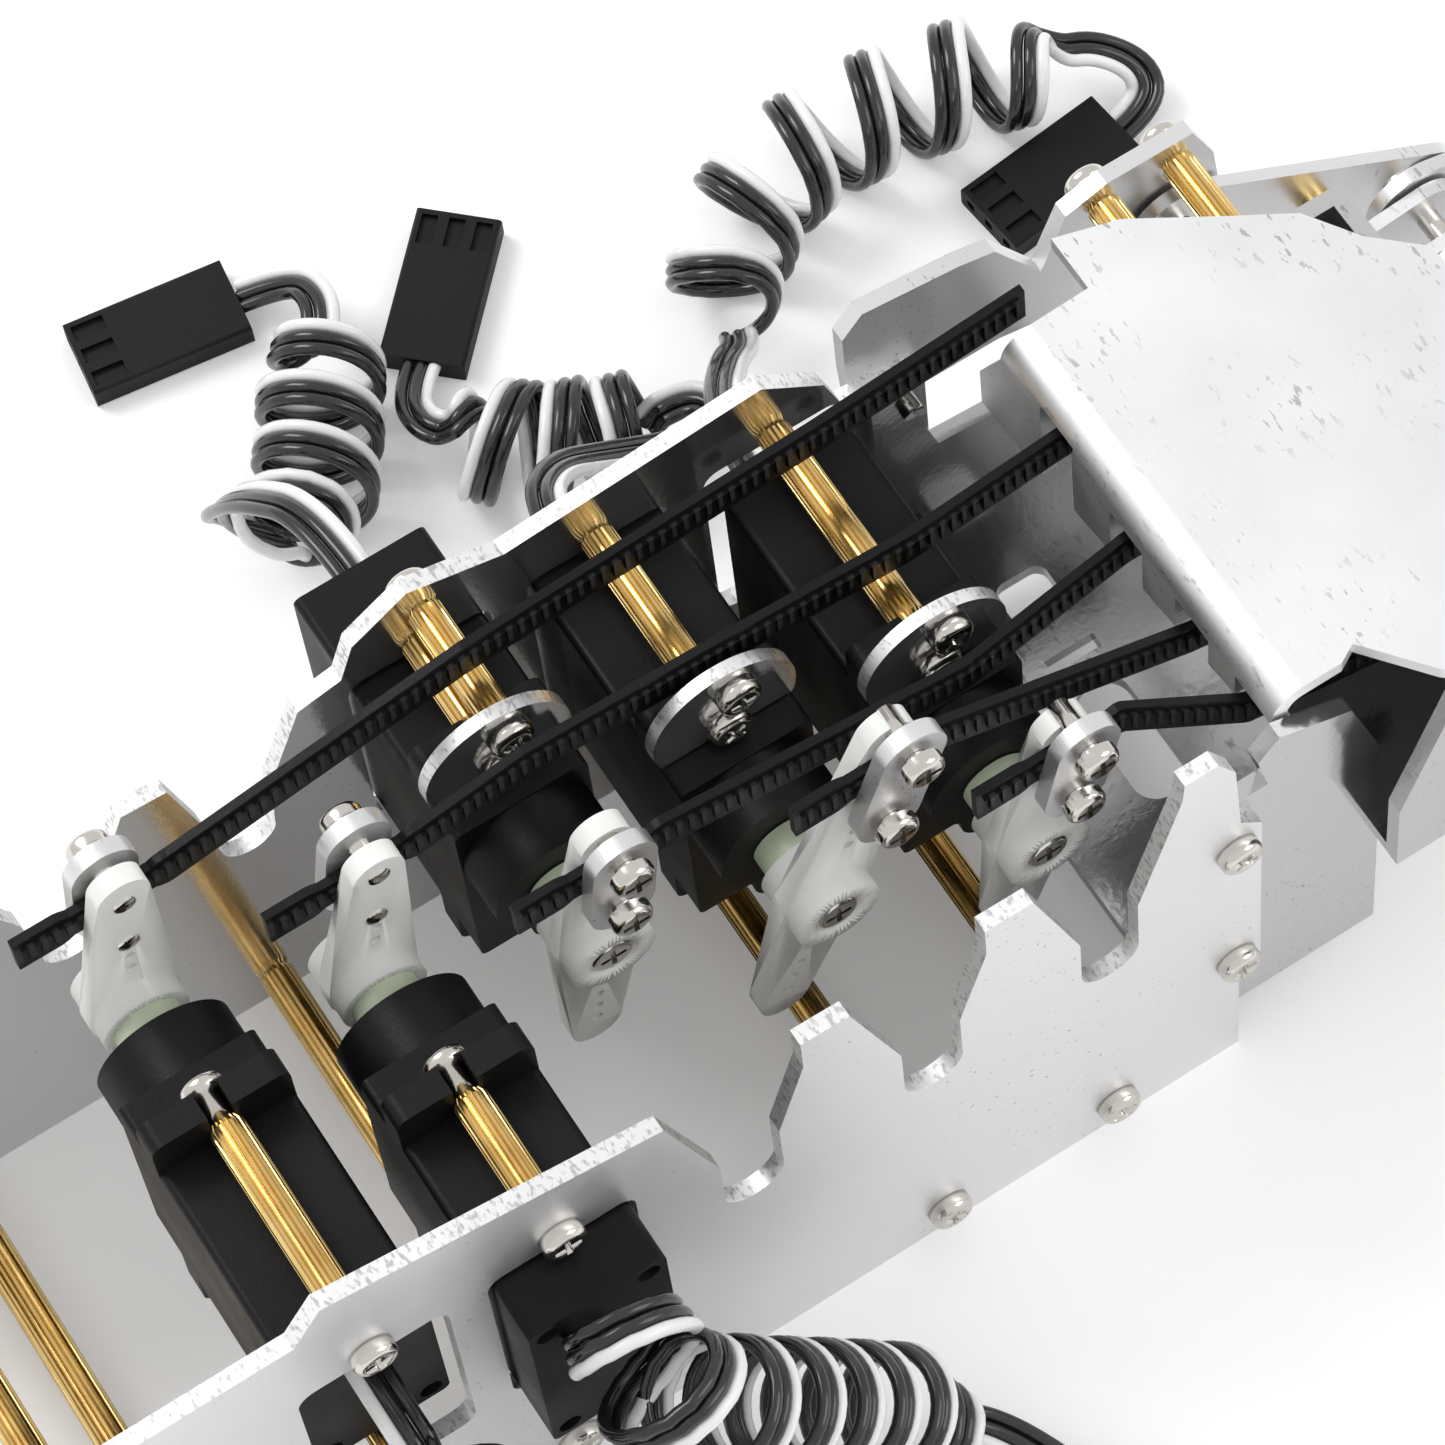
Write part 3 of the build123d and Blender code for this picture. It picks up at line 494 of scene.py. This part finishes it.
# The standoffs and cross ties are turned from fluted brass rod, tapped at both ends.
def fluted_brass():
    material, tree, surface = new_material("fluted_brass", (0.80, 0.58, 0.25), 1.0, 0.22)
    tone = ramp(tree, noise(tree, 320, 4.0), [(0.3, (0.74, 0.51, 0.19)), (0.7, (0.84, 0.62, 0.27))])
    tree.links.new(tone, surface.inputs["Base Color"])
    dull = ramp(tree, noise(tree, 500, 3.0), [(0.3, 0.16), (0.7, 0.26)])
    tree.links.new(dull, surface.inputs["Roughness"])
    return material


rod_brass = fluted_brass()
flute_count = 20
flute_depth = 0.00024
end_chamfer = 0.00025


def fluted_rod(low, high):
    """A rod that fills this box, with flutes along it and a plain chamfer at each end."""
    radius = (high.x - low.x) / 2
    middle = (low + high) / 2
    rod = rod_along_y(middle, radius, high.y - low.y, flute_count * 4)
    bpy.ops.object.transform_apply(location=True, rotation=True, scale=True)
    only(rod)
    bpy.ops.object.mode_set(mode="EDIT")
    bpy.ops.mesh.select_all(action="SELECT")
    bpy.ops.mesh.bisect(plane_co=(0, low.y + 2 * end_chamfer, 0), plane_no=(0, 1, 0))
    bpy.ops.mesh.select_all(action="SELECT")
    bpy.ops.mesh.bisect(plane_co=(0, high.y - 2 * end_chamfer, 0), plane_no=(0, 1, 0))
    bpy.ops.object.mode_set(mode="OBJECT")
    for vertex in rod.data.vertices:
        spoke = Vector((vertex.co.x - middle.x, 0, vertex.co.z - middle.z))
        if spoke.length > radius * 0.5:
            around = (Vector((1, 0, 0)).angle(spoke) * flute_count / (2 * pi)) % 1
            at_end = min(vertex.co.y - low.y, high.y - vertex.co.y) < end_chamfer
            sunk = end_chamfer if at_end else flute_depth if 0.3 < around < 0.7 else 0.0
            spoke = spoke.normalized() * (radius - sunk)
            vertex.co = Vector((middle.x + spoke.x, vertex.co.y, middle.z + spoke.z))
    return rod


for node in ("servo_standoffs", "cross_ties"):
    rod_set = joined([fluted_rod(low, high) for low, high in solid_boxes(node)], f"{node}_fluted")
    only_material(rod_set, rod_brass)
    smooth(rod_set, 20)
    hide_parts(node)
    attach(rod_set, "base")

dress([f"proximal_pins_{d}" for d in digits], rod_brass)


# The thumb's two spacers are cut from the same fluted brass rod. A nickel pan-head screw in
# each end holds them between the palm's cheek and the thumb bracket.
longest_screw = 0.008
spacers, spacer_screws, heads = [], [], []
for part in separated(copy_of("thumb_standoffs", "thumb_part")):
    low, high = corners(part)
    if high.y - low.y > longest_screw:
        spacers.append(fluted_rod(low, high))
        bpy.data.objects.remove(part, do_unlink=True)
    else:
        heads.append(head_top(part, low, high))
        spacer_screws.append(part)
spacers = joined(spacers, "thumb_spacers")
only_material(spacers, rod_brass)
smooth(spacers, 20)
spacer_screws = joined(spacer_screws, "thumb_spacer_screws")
cut_crosses(spacer_screws, heads)
only_material(spacer_screws, screw_nickel)
smooth(spacer_screws)
for piece, slot in ((spacers, "brass"), (spacer_screws, "nickel_steel")):
    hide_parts("thumb_standoffs")
    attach(piece, "base")


# The straps are moulded nylon ties on edge: a thin band with a rail along both edges and a
# ladder of ribs between them on the near side.
strap_black = moulded_black("strap_black", 0.006, 0.36)
# The ribs are the same black plastic as the band. Their lighter grey is a painted highlight, standing in
# for the light that catches them at another angle.
rib_painted_highlight = moulded_black("rib_painted_highlight", 0.035, 0.40)
rib_pitch = 0.0011
rib_height = 0.00035
strap_thick = 0.0011
rail_share = 0.2
rail_row = 0.9
strap_width = 0.0042
waist_width = 0.0033
waist_reach = 0.0036
waist_end = 0.0044
strap_tail = 0.0085
strap_level = 0.005
# Where each strap passes through its clip, and its bends from there to the palm
strap_middles = {
    "little": (-0.01153, -0.01535, 0.0516),
    "ring": (-0.0248, -0.01055, 0.0561),
    "middle": (-0.04595, -0.00375, 0.0515),
    "index": (-0.06209, 0.00635, 0.0514),
    "thumb": (-0.07933, 0.01485, 0.0521),
}
strap_bends = {
    "little": [(0.003, -0.0186, 0.0476), (0.020, -0.0202, 0.0466)],
    "ring": [(0.003, -0.0108, 0.0469), (0.022, -0.0120, 0.0446)],
    "middle": [(-0.014, -0.0046, 0.0493), (0.003, -0.0016, 0.0473), (0.022, -0.0010, 0.0456)],
    "index": [
        (-0.047, 0.0069, 0.0522), (-0.029, 0.0065, 0.0523), (-0.012, 0.0064, 0.0513),
        (0.003, 0.0082, 0.0492), (0.020, 0.0096, 0.0466)],
    "thumb": [(-0.047, 0.0154, 0.0561), (-0.014, 0.0168, 0.0553), (0.007, 0.0190, 0.0528)],
}


def along(stations, share):
    """The place and width at this share of a broken line of stations."""
    lengths = [(Vector(b[:3]) - Vector(a[:3])).length for a, b in zip(stations, stations[1:])]
    left = share * sum(lengths)
    for (a, b), length in zip(zip(stations, stations[1:]), lengths):
        if left <= length + 1e-9:
            t = left / length
            return [p + (q - p) * t for p, q in zip(a, b)]
        left -= length
    return list(stations[-1])


for digit in digits:
    x, y, z = strap_middles[digit]
    stations = [(x - strap_tail, y, z, strap_width), (x - waist_end, y, z, strap_width)]
    stations += [(x - waist_reach, y, z, waist_width), (x + waist_reach, y, z, waist_width)]
    stations += [(x + waist_end, y, z, strap_width), (x + strap_level, y, z, strap_width)]
    stations += [(*bend, strap_width) for bend in strap_bends[digit]]
    total = sum((Vector(b[:3]) - Vector(a[:3])).length for a, b in zip(stations, stations[1:]))
    count = 2 * round(total / rib_pitch)
    bpy.ops.object.select_all(action="DESELECT")
    bpy.ops.mesh.primitive_grid_add(x_subdivisions=count, y_subdivisions=3, size=2)
    strap = bpy.context.view_layer.objects.active
    strap.name = f"strap_{digit}_ribbed"
    strap.data.attributes.new("column", "INT", "POINT")
    strap.data.attributes.new("row", "FLOAT", "POINT")
    for vertex in strap.data.vertices:
        column = round((vertex.co.x + 1) / 2 * count)
        row = vertex.co.y
        strap.data.attributes["column"].data[vertex.index].value = column
        strap.data.attributes["row"].data[vertex.index].value = row
        px, py, pz, width = along(stations, column / count)
        edge = 1 if abs(row) > rail_row else 1 - 2 * rail_share
        side = 1 if row > 0 else -1
        vertex.co = (px, py + strap_thick / 2, pz + side * edge * width / 2)
    only_material(strap, strap_black)
    strap.data.materials.append(rib_painted_highlight)
    only(strap)
    bpy.ops.object.mode_set(mode="EDIT")
    bpy.ops.mesh.select_all(action="SELECT")
    bpy.ops.mesh.extrude_region_move(
        TRANSFORM_OT_translate={"value": (0, rib_height - strap_thick, 0)})
    bpy.ops.mesh.select_all(action="SELECT")
    bpy.ops.mesh.normals_make_consistent(inside=False)
    bpy.ops.mesh.select_all(action="DESELECT")
    cage = bmesh.from_edit_mesh(strap.data)
    columns = cage.verts.layers.int["column"]
    rows = cage.verts.layers.float["row"]
    for face in cage.faces:
        rail = max(abs(v[rows]) for v in face.verts) > rail_row
        rib = min(v[columns] for v in face.verts) % 2 == 0
        near_side = face.normal.y < -0.8
        face.select_set(near_side and (rail or rib))
        # The near faces of the ribs take the second material, the lighter grey of the painted highlight.
        face.material_index = 1 if near_side and rib and not rail else 0
    cage.select_flush_mode()
    bpy.ops.mesh.extrude_region_move(TRANSFORM_OT_translate={"value": (0, -rib_height, 0)})
    bpy.ops.mesh.select_all(action="SELECT")
    bpy.ops.mesh.normals_make_consistent(inside=False)
    bpy.ops.object.mode_set(mode="OBJECT")
    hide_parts(f"strap_{digit}")
    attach(strap, f"strap_{digit}_body")


# Each servo lead is three stranded wires in glossy PVC, two black and one white, bonded side
# by side. They run flat from the case, then the lead is wound into a loose curl.
wire_radius = 0.00058
wire_pitch = 0.00117
coil_radius = 0.0058
wire_clearance = 0.00005
flat_step = 0.0006
steps_per_turn = 36
# A coil opens out of the flat lead over this share of a turn, of which the second share lies
# before the coil's first point
opening_share = 0.9
opening_ahead = 0.35
# Each lead's flat start, its coil, its flat tail, and the coil's pitch
lead_routes = {
    "middle": (
        [(-0.0476, 0.0330, 0.0400), (-0.0476, 0.0414, 0.0400), (-0.0506, 0.0490, 0.0336),
         (-0.0517, 0.0545, 0.0230), (-0.0496, 0.0560, 0.0135)],
        [(-0.0450, 0.0550, 0.0066), (-0.0405, 0.0605, 0.0062), (-0.0365, 0.0665, 0.0060)],
        [(-0.0330, 0.0725, 0.0060), (-0.0309, 0.0761, 0.0060), (-0.0316, 0.0806, 0.0038),
         (-0.0364, 0.0824, 0.0018)], 0.0052),
    "ring": (
        [(-0.0310, 0.0262, 0.0340), (-0.0310, 0.0340, 0.0340), (-0.0270, 0.0396, 0.0280),
         (-0.0206, 0.0416, 0.0196), (-0.0136, 0.0428, 0.0120), (-0.0082, 0.0450, 0.0076),
         (-0.0086, 0.0492, 0.0064)],
        [(-0.0134, 0.0498, 0.0062), (-0.0190, 0.0506, 0.0060), (-0.0242, 0.0536, 0.0060)],
        [(-0.0280, 0.0580, 0.0060), (-0.0299, 0.0602, 0.0060), (-0.0290, 0.0644, 0.0036),
         (-0.0262, 0.0674, 0.0018)], 0.0050),
    "little": (
        [(-0.0144, 0.0214, 0.0320), (-0.0144, 0.0300, 0.0320), (-0.0116, 0.0380, 0.0264),
         (-0.0074, 0.0444, 0.0186), (-0.0040, 0.0488, 0.0108)],
        [(-0.0024, 0.0526, 0.0060), (0.0014, 0.0604, 0.0062), (0.0096, 0.0644, 0.0064),
         (0.0190, 0.0646, 0.0062), (0.0280, 0.0628, 0.0060)],
        [(0.0356, 0.0606, 0.0060), (0.0394, 0.0595, 0.0058), (0.0426, 0.0564, 0.0036),
         (0.0416, 0.0536, 0.0022), (0.0379, 0.0530, 0.0018)], 0.0076),
    "index": (
        [],
        [(-0.0642, -0.0304, 0.0400), (-0.0642, -0.0386, 0.0400), (-0.0576, -0.0404, 0.0320),
         (-0.0498, -0.0404, 0.0194)],
        [(-0.0420, -0.0406, 0.0064), (-0.0366, -0.0450, 0.0034), (-0.0340, -0.0523, 0.0018)],
        0.0060),
    "thumb": (
        [(-0.0808, -0.0219, 0.0360)],
        [(-0.0808, -0.0312, 0.0360), (-0.0808, -0.0388, 0.0360), (-0.0740, -0.0412, 0.0282),
         (-0.0660, -0.0420, 0.0170)],
        [(-0.0584, -0.0430, 0.0064), (-0.0576, -0.0494, 0.0036), (-0.0632, -0.0546, 0.0018)],
        0.0070),
}


def glossy_wire(name, colour):
    material, tree, surface = new_material(name, colour, 0.0, 0.22)
    surface.inputs["Coat Weight"].default_value = 0.4
    gloss = ramp(tree, noise(tree, 500, 3.0), [(0.3, 0.16), (0.7, 0.30)])
    tree.links.new(gloss, surface.inputs["Roughness"])
    bump(tree, surface, noise(tree, 1200, 2.0), 0.08, 0.0001)
    return material


wire_black = glossy_wire("wire_black", (0.012, 0.012, 0.013))
wire_white = glossy_wire("wire_white", (0.84, 0.84, 0.83))


def spline_points(points, name):
    """The points of a smooth NURBS line through these control points."""
    curve = bpy.data.curves.new(name, "CURVE")
    curve.dimensions = "3D"
    curve.resolution_u = 24
    spline = curve.splines.new("NURBS")
    spline.points.add(len(points) - 1)
    for point, place in zip(spline.points, points):
        point.co = (*place, 1)
    spline.order_u = 3
    spline.use_endpoint_u = True
    holder = bpy.data.objects.new(name, curve)
    bpy.context.collection.objects.link(holder)
    bpy.context.view_layer.update()
    mesh = bpy.data.meshes.new_from_object(holder)
    line = [v.co.copy() for v in mesh.vertices]
    bpy.data.objects.remove(holder, do_unlink=True)
    bpy.data.meshes.remove(mesh)
    return line


def measured(line):
    """How far along the line each of its points lies."""
    run = [0.0]
    for a, b in zip(line, line[1:]):
        run.append(run[-1] + (b - a).length)
    return run


def at_distance(line, run, distance):
    """The place and direction at this distance along the line."""
    distance = min(max(distance, 0.0), run[-1])
    index = 0
    while index < len(run) - 2 and run[index + 1] < distance:
        index += 1
    a, b = line[index], line[index + 1]
    t = (distance - run[index]) / max(run[index + 1] - run[index], 1e-9)
    return a.lerp(b, t), (b - a).normalized()


def ease(t):
    t = min(max(t, 0.0), 1.0)
    return t * t * (3 - 2 * t)


def tube_mesh(name, line, radius, sides=12):
    """A closed round tube along a line of points, with its ends capped."""
    mesh = bpy.data.meshes.new(name)
    cage = bmesh.new()
    rings = []
    normal = None
    for index, point in enumerate(line):
        ahead = (line[min(index + 1, len(line) - 1)] - line[max(index - 1, 0)]).normalized()
        if normal is None:
            normal = ahead.orthogonal().normalized()
        normal = (normal - ahead * normal.dot(ahead)).normalized()
        side = ahead.cross(normal)
        ring = []
        for step in range(sides):
            turn = 2 * pi * step / sides
            ring.append(cage.verts.new(point + (normal * cos(turn) + side * sin(turn)) * radius))
        rings.append(ring)
    for a, b in zip(rings, rings[1:]):
        for step in range(sides):
            after = (step + 1) % sides
            cage.faces.new((a[step], a[after], b[after], b[step]))
    cage.faces.new(list(reversed(rings[0])))
    cage.faces.new(rings[-1])
    cage.to_mesh(mesh)
    cage.free()
    piece = bpy.data.objects.new(name, mesh)
    bpy.context.collection.objects.link(piece)
    smooth(piece, 60)
    return piece


def lead_lines(digit):
    """The middle line of a lead and the lines of its three wires, which open into a coil."""
    start, coil, tail, pitch = lead_routes[digit]
    control = start + coil + tail
    line = spline_points(control, f"route_{digit}")
    run = measured(line)
    first, last = Vector(coil[0]), Vector(tail[0])
    begin = run[min(range(len(line)), key=lambda i: (line[i] - first).length)]
    end = run[min(range(len(line)), key=lambda i: (line[i] - last).length)]
    opening = pitch * opening_share
    radius_in = coil_radius - wire_radius - wire_clearance
    middle, lanes = [], [[], [], []]
    distance = 0.0
    step = pitch / steps_per_turn
    up = Vector((0, 0, 1))
    while distance < run[-1]:
        place, ahead = at_distance(line, run, distance)
        side = ahead.cross(up)
        side = side.normalized() if side.length > 0.05 else Vector((1, 0, 0))
        over = side.cross(ahead)
        grown = ease((distance - begin) / opening + opening_ahead)
        grown *= ease((end - distance) / opening + opening_ahead)
        phase = 2 * pi * min(max(distance - begin, 0.0), end - begin) / pitch
        swing = over * -cos(phase) + side * sin(phase)
        middle.append(place + swing * radius_in * grown)
        spread = (side * (1 - grown) + ahead * grown).normalized()
        for lane in range(3):
            lanes[lane].append(middle[-1] + spread * (lane - 1) * wire_pitch)
        distance += step if grown > 0 else flat_step
    return middle, lanes


lead_pieces = {}
for digit in digits:
    middle, lanes = lead_lines(digit)
    wires = []
    for lane, material in zip(lanes, (wire_black, wire_black, wire_white)):
        wire = tube_mesh("wire", lane, wire_radius)
        only_material(wire, material)
        wires.append(wire)
    lead = joined(wires, f"lead_{digit}_wires")
    lead_pieces[digit] = (lead, middle)
    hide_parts(f"lead_{digit}")
    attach(lead, "base")


# Each lead ends in a flat three-way housing in black plastic, with a brass contact in each of
# its windows.
connector_black = moulded_black("connector_black", 0.008, 0.46)
contact_long = 0.0022
contact_wide = 0.0008
contact_high = 0.0005
contact_inset = 0.002
contact_pitch = 0.0025
contact_depth = 0.0008
contact_bevel_share = 0.08
connector_top = 0.0026
connector_length = 0.015
# Which way each connector points from the end of its lead, in degrees from the X axis
connector_turns = {"middle": 172, "ring": 46, "little": 186, "index": -90, "thumb": 200}

shells = separated(copy_of("lead_connectors", "connector"))
for digit in digits:
    entry = Vector(lead_routes[digit][2][-1])
    turn = radians(connector_turns[digit])
    ahead = Vector((cos(turn), sin(turn), 0))
    side = Vector((-ahead.y, ahead.x, 0))
    middle = entry + ahead * connector_length / 2
    shell = min(shells, key=lambda s: (Vector(s.data.vertices[0].co) - middle).length)
    shells.remove(shell)
    only_material(shell, connector_black)
    pieces = [shell]
    for lane in (-1, 0, 1):
        place = entry + ahead * (connector_length - contact_inset) + side * lane * contact_pitch
        place.z = connector_top - contact_depth
        bpy.ops.mesh.primitive_cube_add(
            size=1, location=place, rotation=(0, 0, turn),
            scale=(contact_long, contact_wide, contact_high))
        contact = bpy.context.view_layer.objects.active
        bevel = contact.modifiers.new("bevel", "BEVEL")
        bevel.width = contact_bevel_share
        only(contact)
        bpy.ops.object.modifier_apply(modifier="bevel")
        only_material(contact, rod_brass)
        pieces.append(contact)
    connector = joined(pieces, f"connector_{digit}")
    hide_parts("lead_connectors")
    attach(connector, "base")
    lead, line = lead_pieces[digit]


# The hand lies on a white table under soft daylight. The floor shows as plain white to the
# camera, apart from the hand's own soft shadow.
def table_white():
    material, tree, surface = new_material("table_white", (0.93, 0.93, 0.93), 0.0, 0.7)
    grain = ramp(tree, noise(tree, 30, 2.0), [(0.3, 0.925), (0.7, 0.94)])
    tree.links.new(grain, surface.inputs["Base Color"])
    seen = tree.nodes.new("ShaderNodeLightPath")
    glow = product(tree, seen.outputs["Is Camera Ray"], 0.16)
    surface.inputs["Emission Color"].default_value = (1, 1, 1, 1)
    tree.links.new(glow, surface.inputs["Emission Strength"])
    return material


bpy.ops.object.select_all(action="DESELECT")
bpy.ops.mesh.primitive_plane_add(size=6, location=(0, 0, 0))
table = bpy.context.view_layer.objects.active
table.name = "table"
only_material(table, table_white())

world = bpy.data.worlds.new("daylight")
world.use_nodes = True
sky = world.node_tree.nodes["Background"]
sky.inputs["Color"].default_value = (1.0, 1.0, 1.0, 1)
sky.inputs["Strength"].default_value = 0.78
bpy.context.scene.world = world


def softbox(name, place, aim, size, power):
    lamp = bpy.data.lights.new(name, "AREA")
    lamp.energy = power
    lamp.size = size
    holder = bpy.data.objects.new(name, lamp)
    holder.location = place
    holder.rotation_euler = (Vector(aim) - Vector(place)).to_track_quat("-Z", "Y").to_euler()
    bpy.context.collection.objects.link(holder)


hand_middle = (-0.02, 0.01, 0.03)
softbox("key", (-0.5, 0.9, 1.1), hand_middle, 0.7, 9.0)
softbox("fill", (0.9, -0.7, 0.9), hand_middle, 0.9, 5.0)


# The camera's place, angles and focal length were fitted to points of the photograph.
view_azimuth = -30.304
view_elevation = 62.030
view_roll = -3.316
camera_place = Vector((-0.12539, -0.20479, 0.52906))
focal_pixels = 6805.68
picture_pixels = 1445
axis_pixel = (1011.03, 381.09)
azimuth, elevation, roll = (radians(a) for a in (view_azimuth, view_elevation, view_roll))
back = Vector((sin(azimuth) * cos(elevation), -cos(azimuth) * cos(elevation), sin(elevation)))
level = Vector((0, 0, 1)).cross(back).normalized()
upward = back.cross(level)
right = level * cos(roll) + upward * sin(roll)
upright = upward * cos(roll) - level * sin(roll)
camera_data = bpy.data.cameras.new("photo_camera")
camera_data.sensor_width = 36
camera_data.lens = focal_pixels / picture_pixels * camera_data.sensor_width
camera_data.shift_x = (picture_pixels / 2 - axis_pixel[0]) / picture_pixels
camera_data.shift_y = (axis_pixel[1] - picture_pixels / 2) / picture_pixels
camera = bpy.data.objects.new("photo_camera", camera_data)
turn = Matrix((right, upright, back)).transposed()
camera.matrix_world = Matrix.Translation(camera_place) @ turn.to_4x4()
bpy.context.collection.objects.link(camera)
bpy.context.scene.camera = camera
bpy.context.scene.view_settings.view_transform = "Standard"
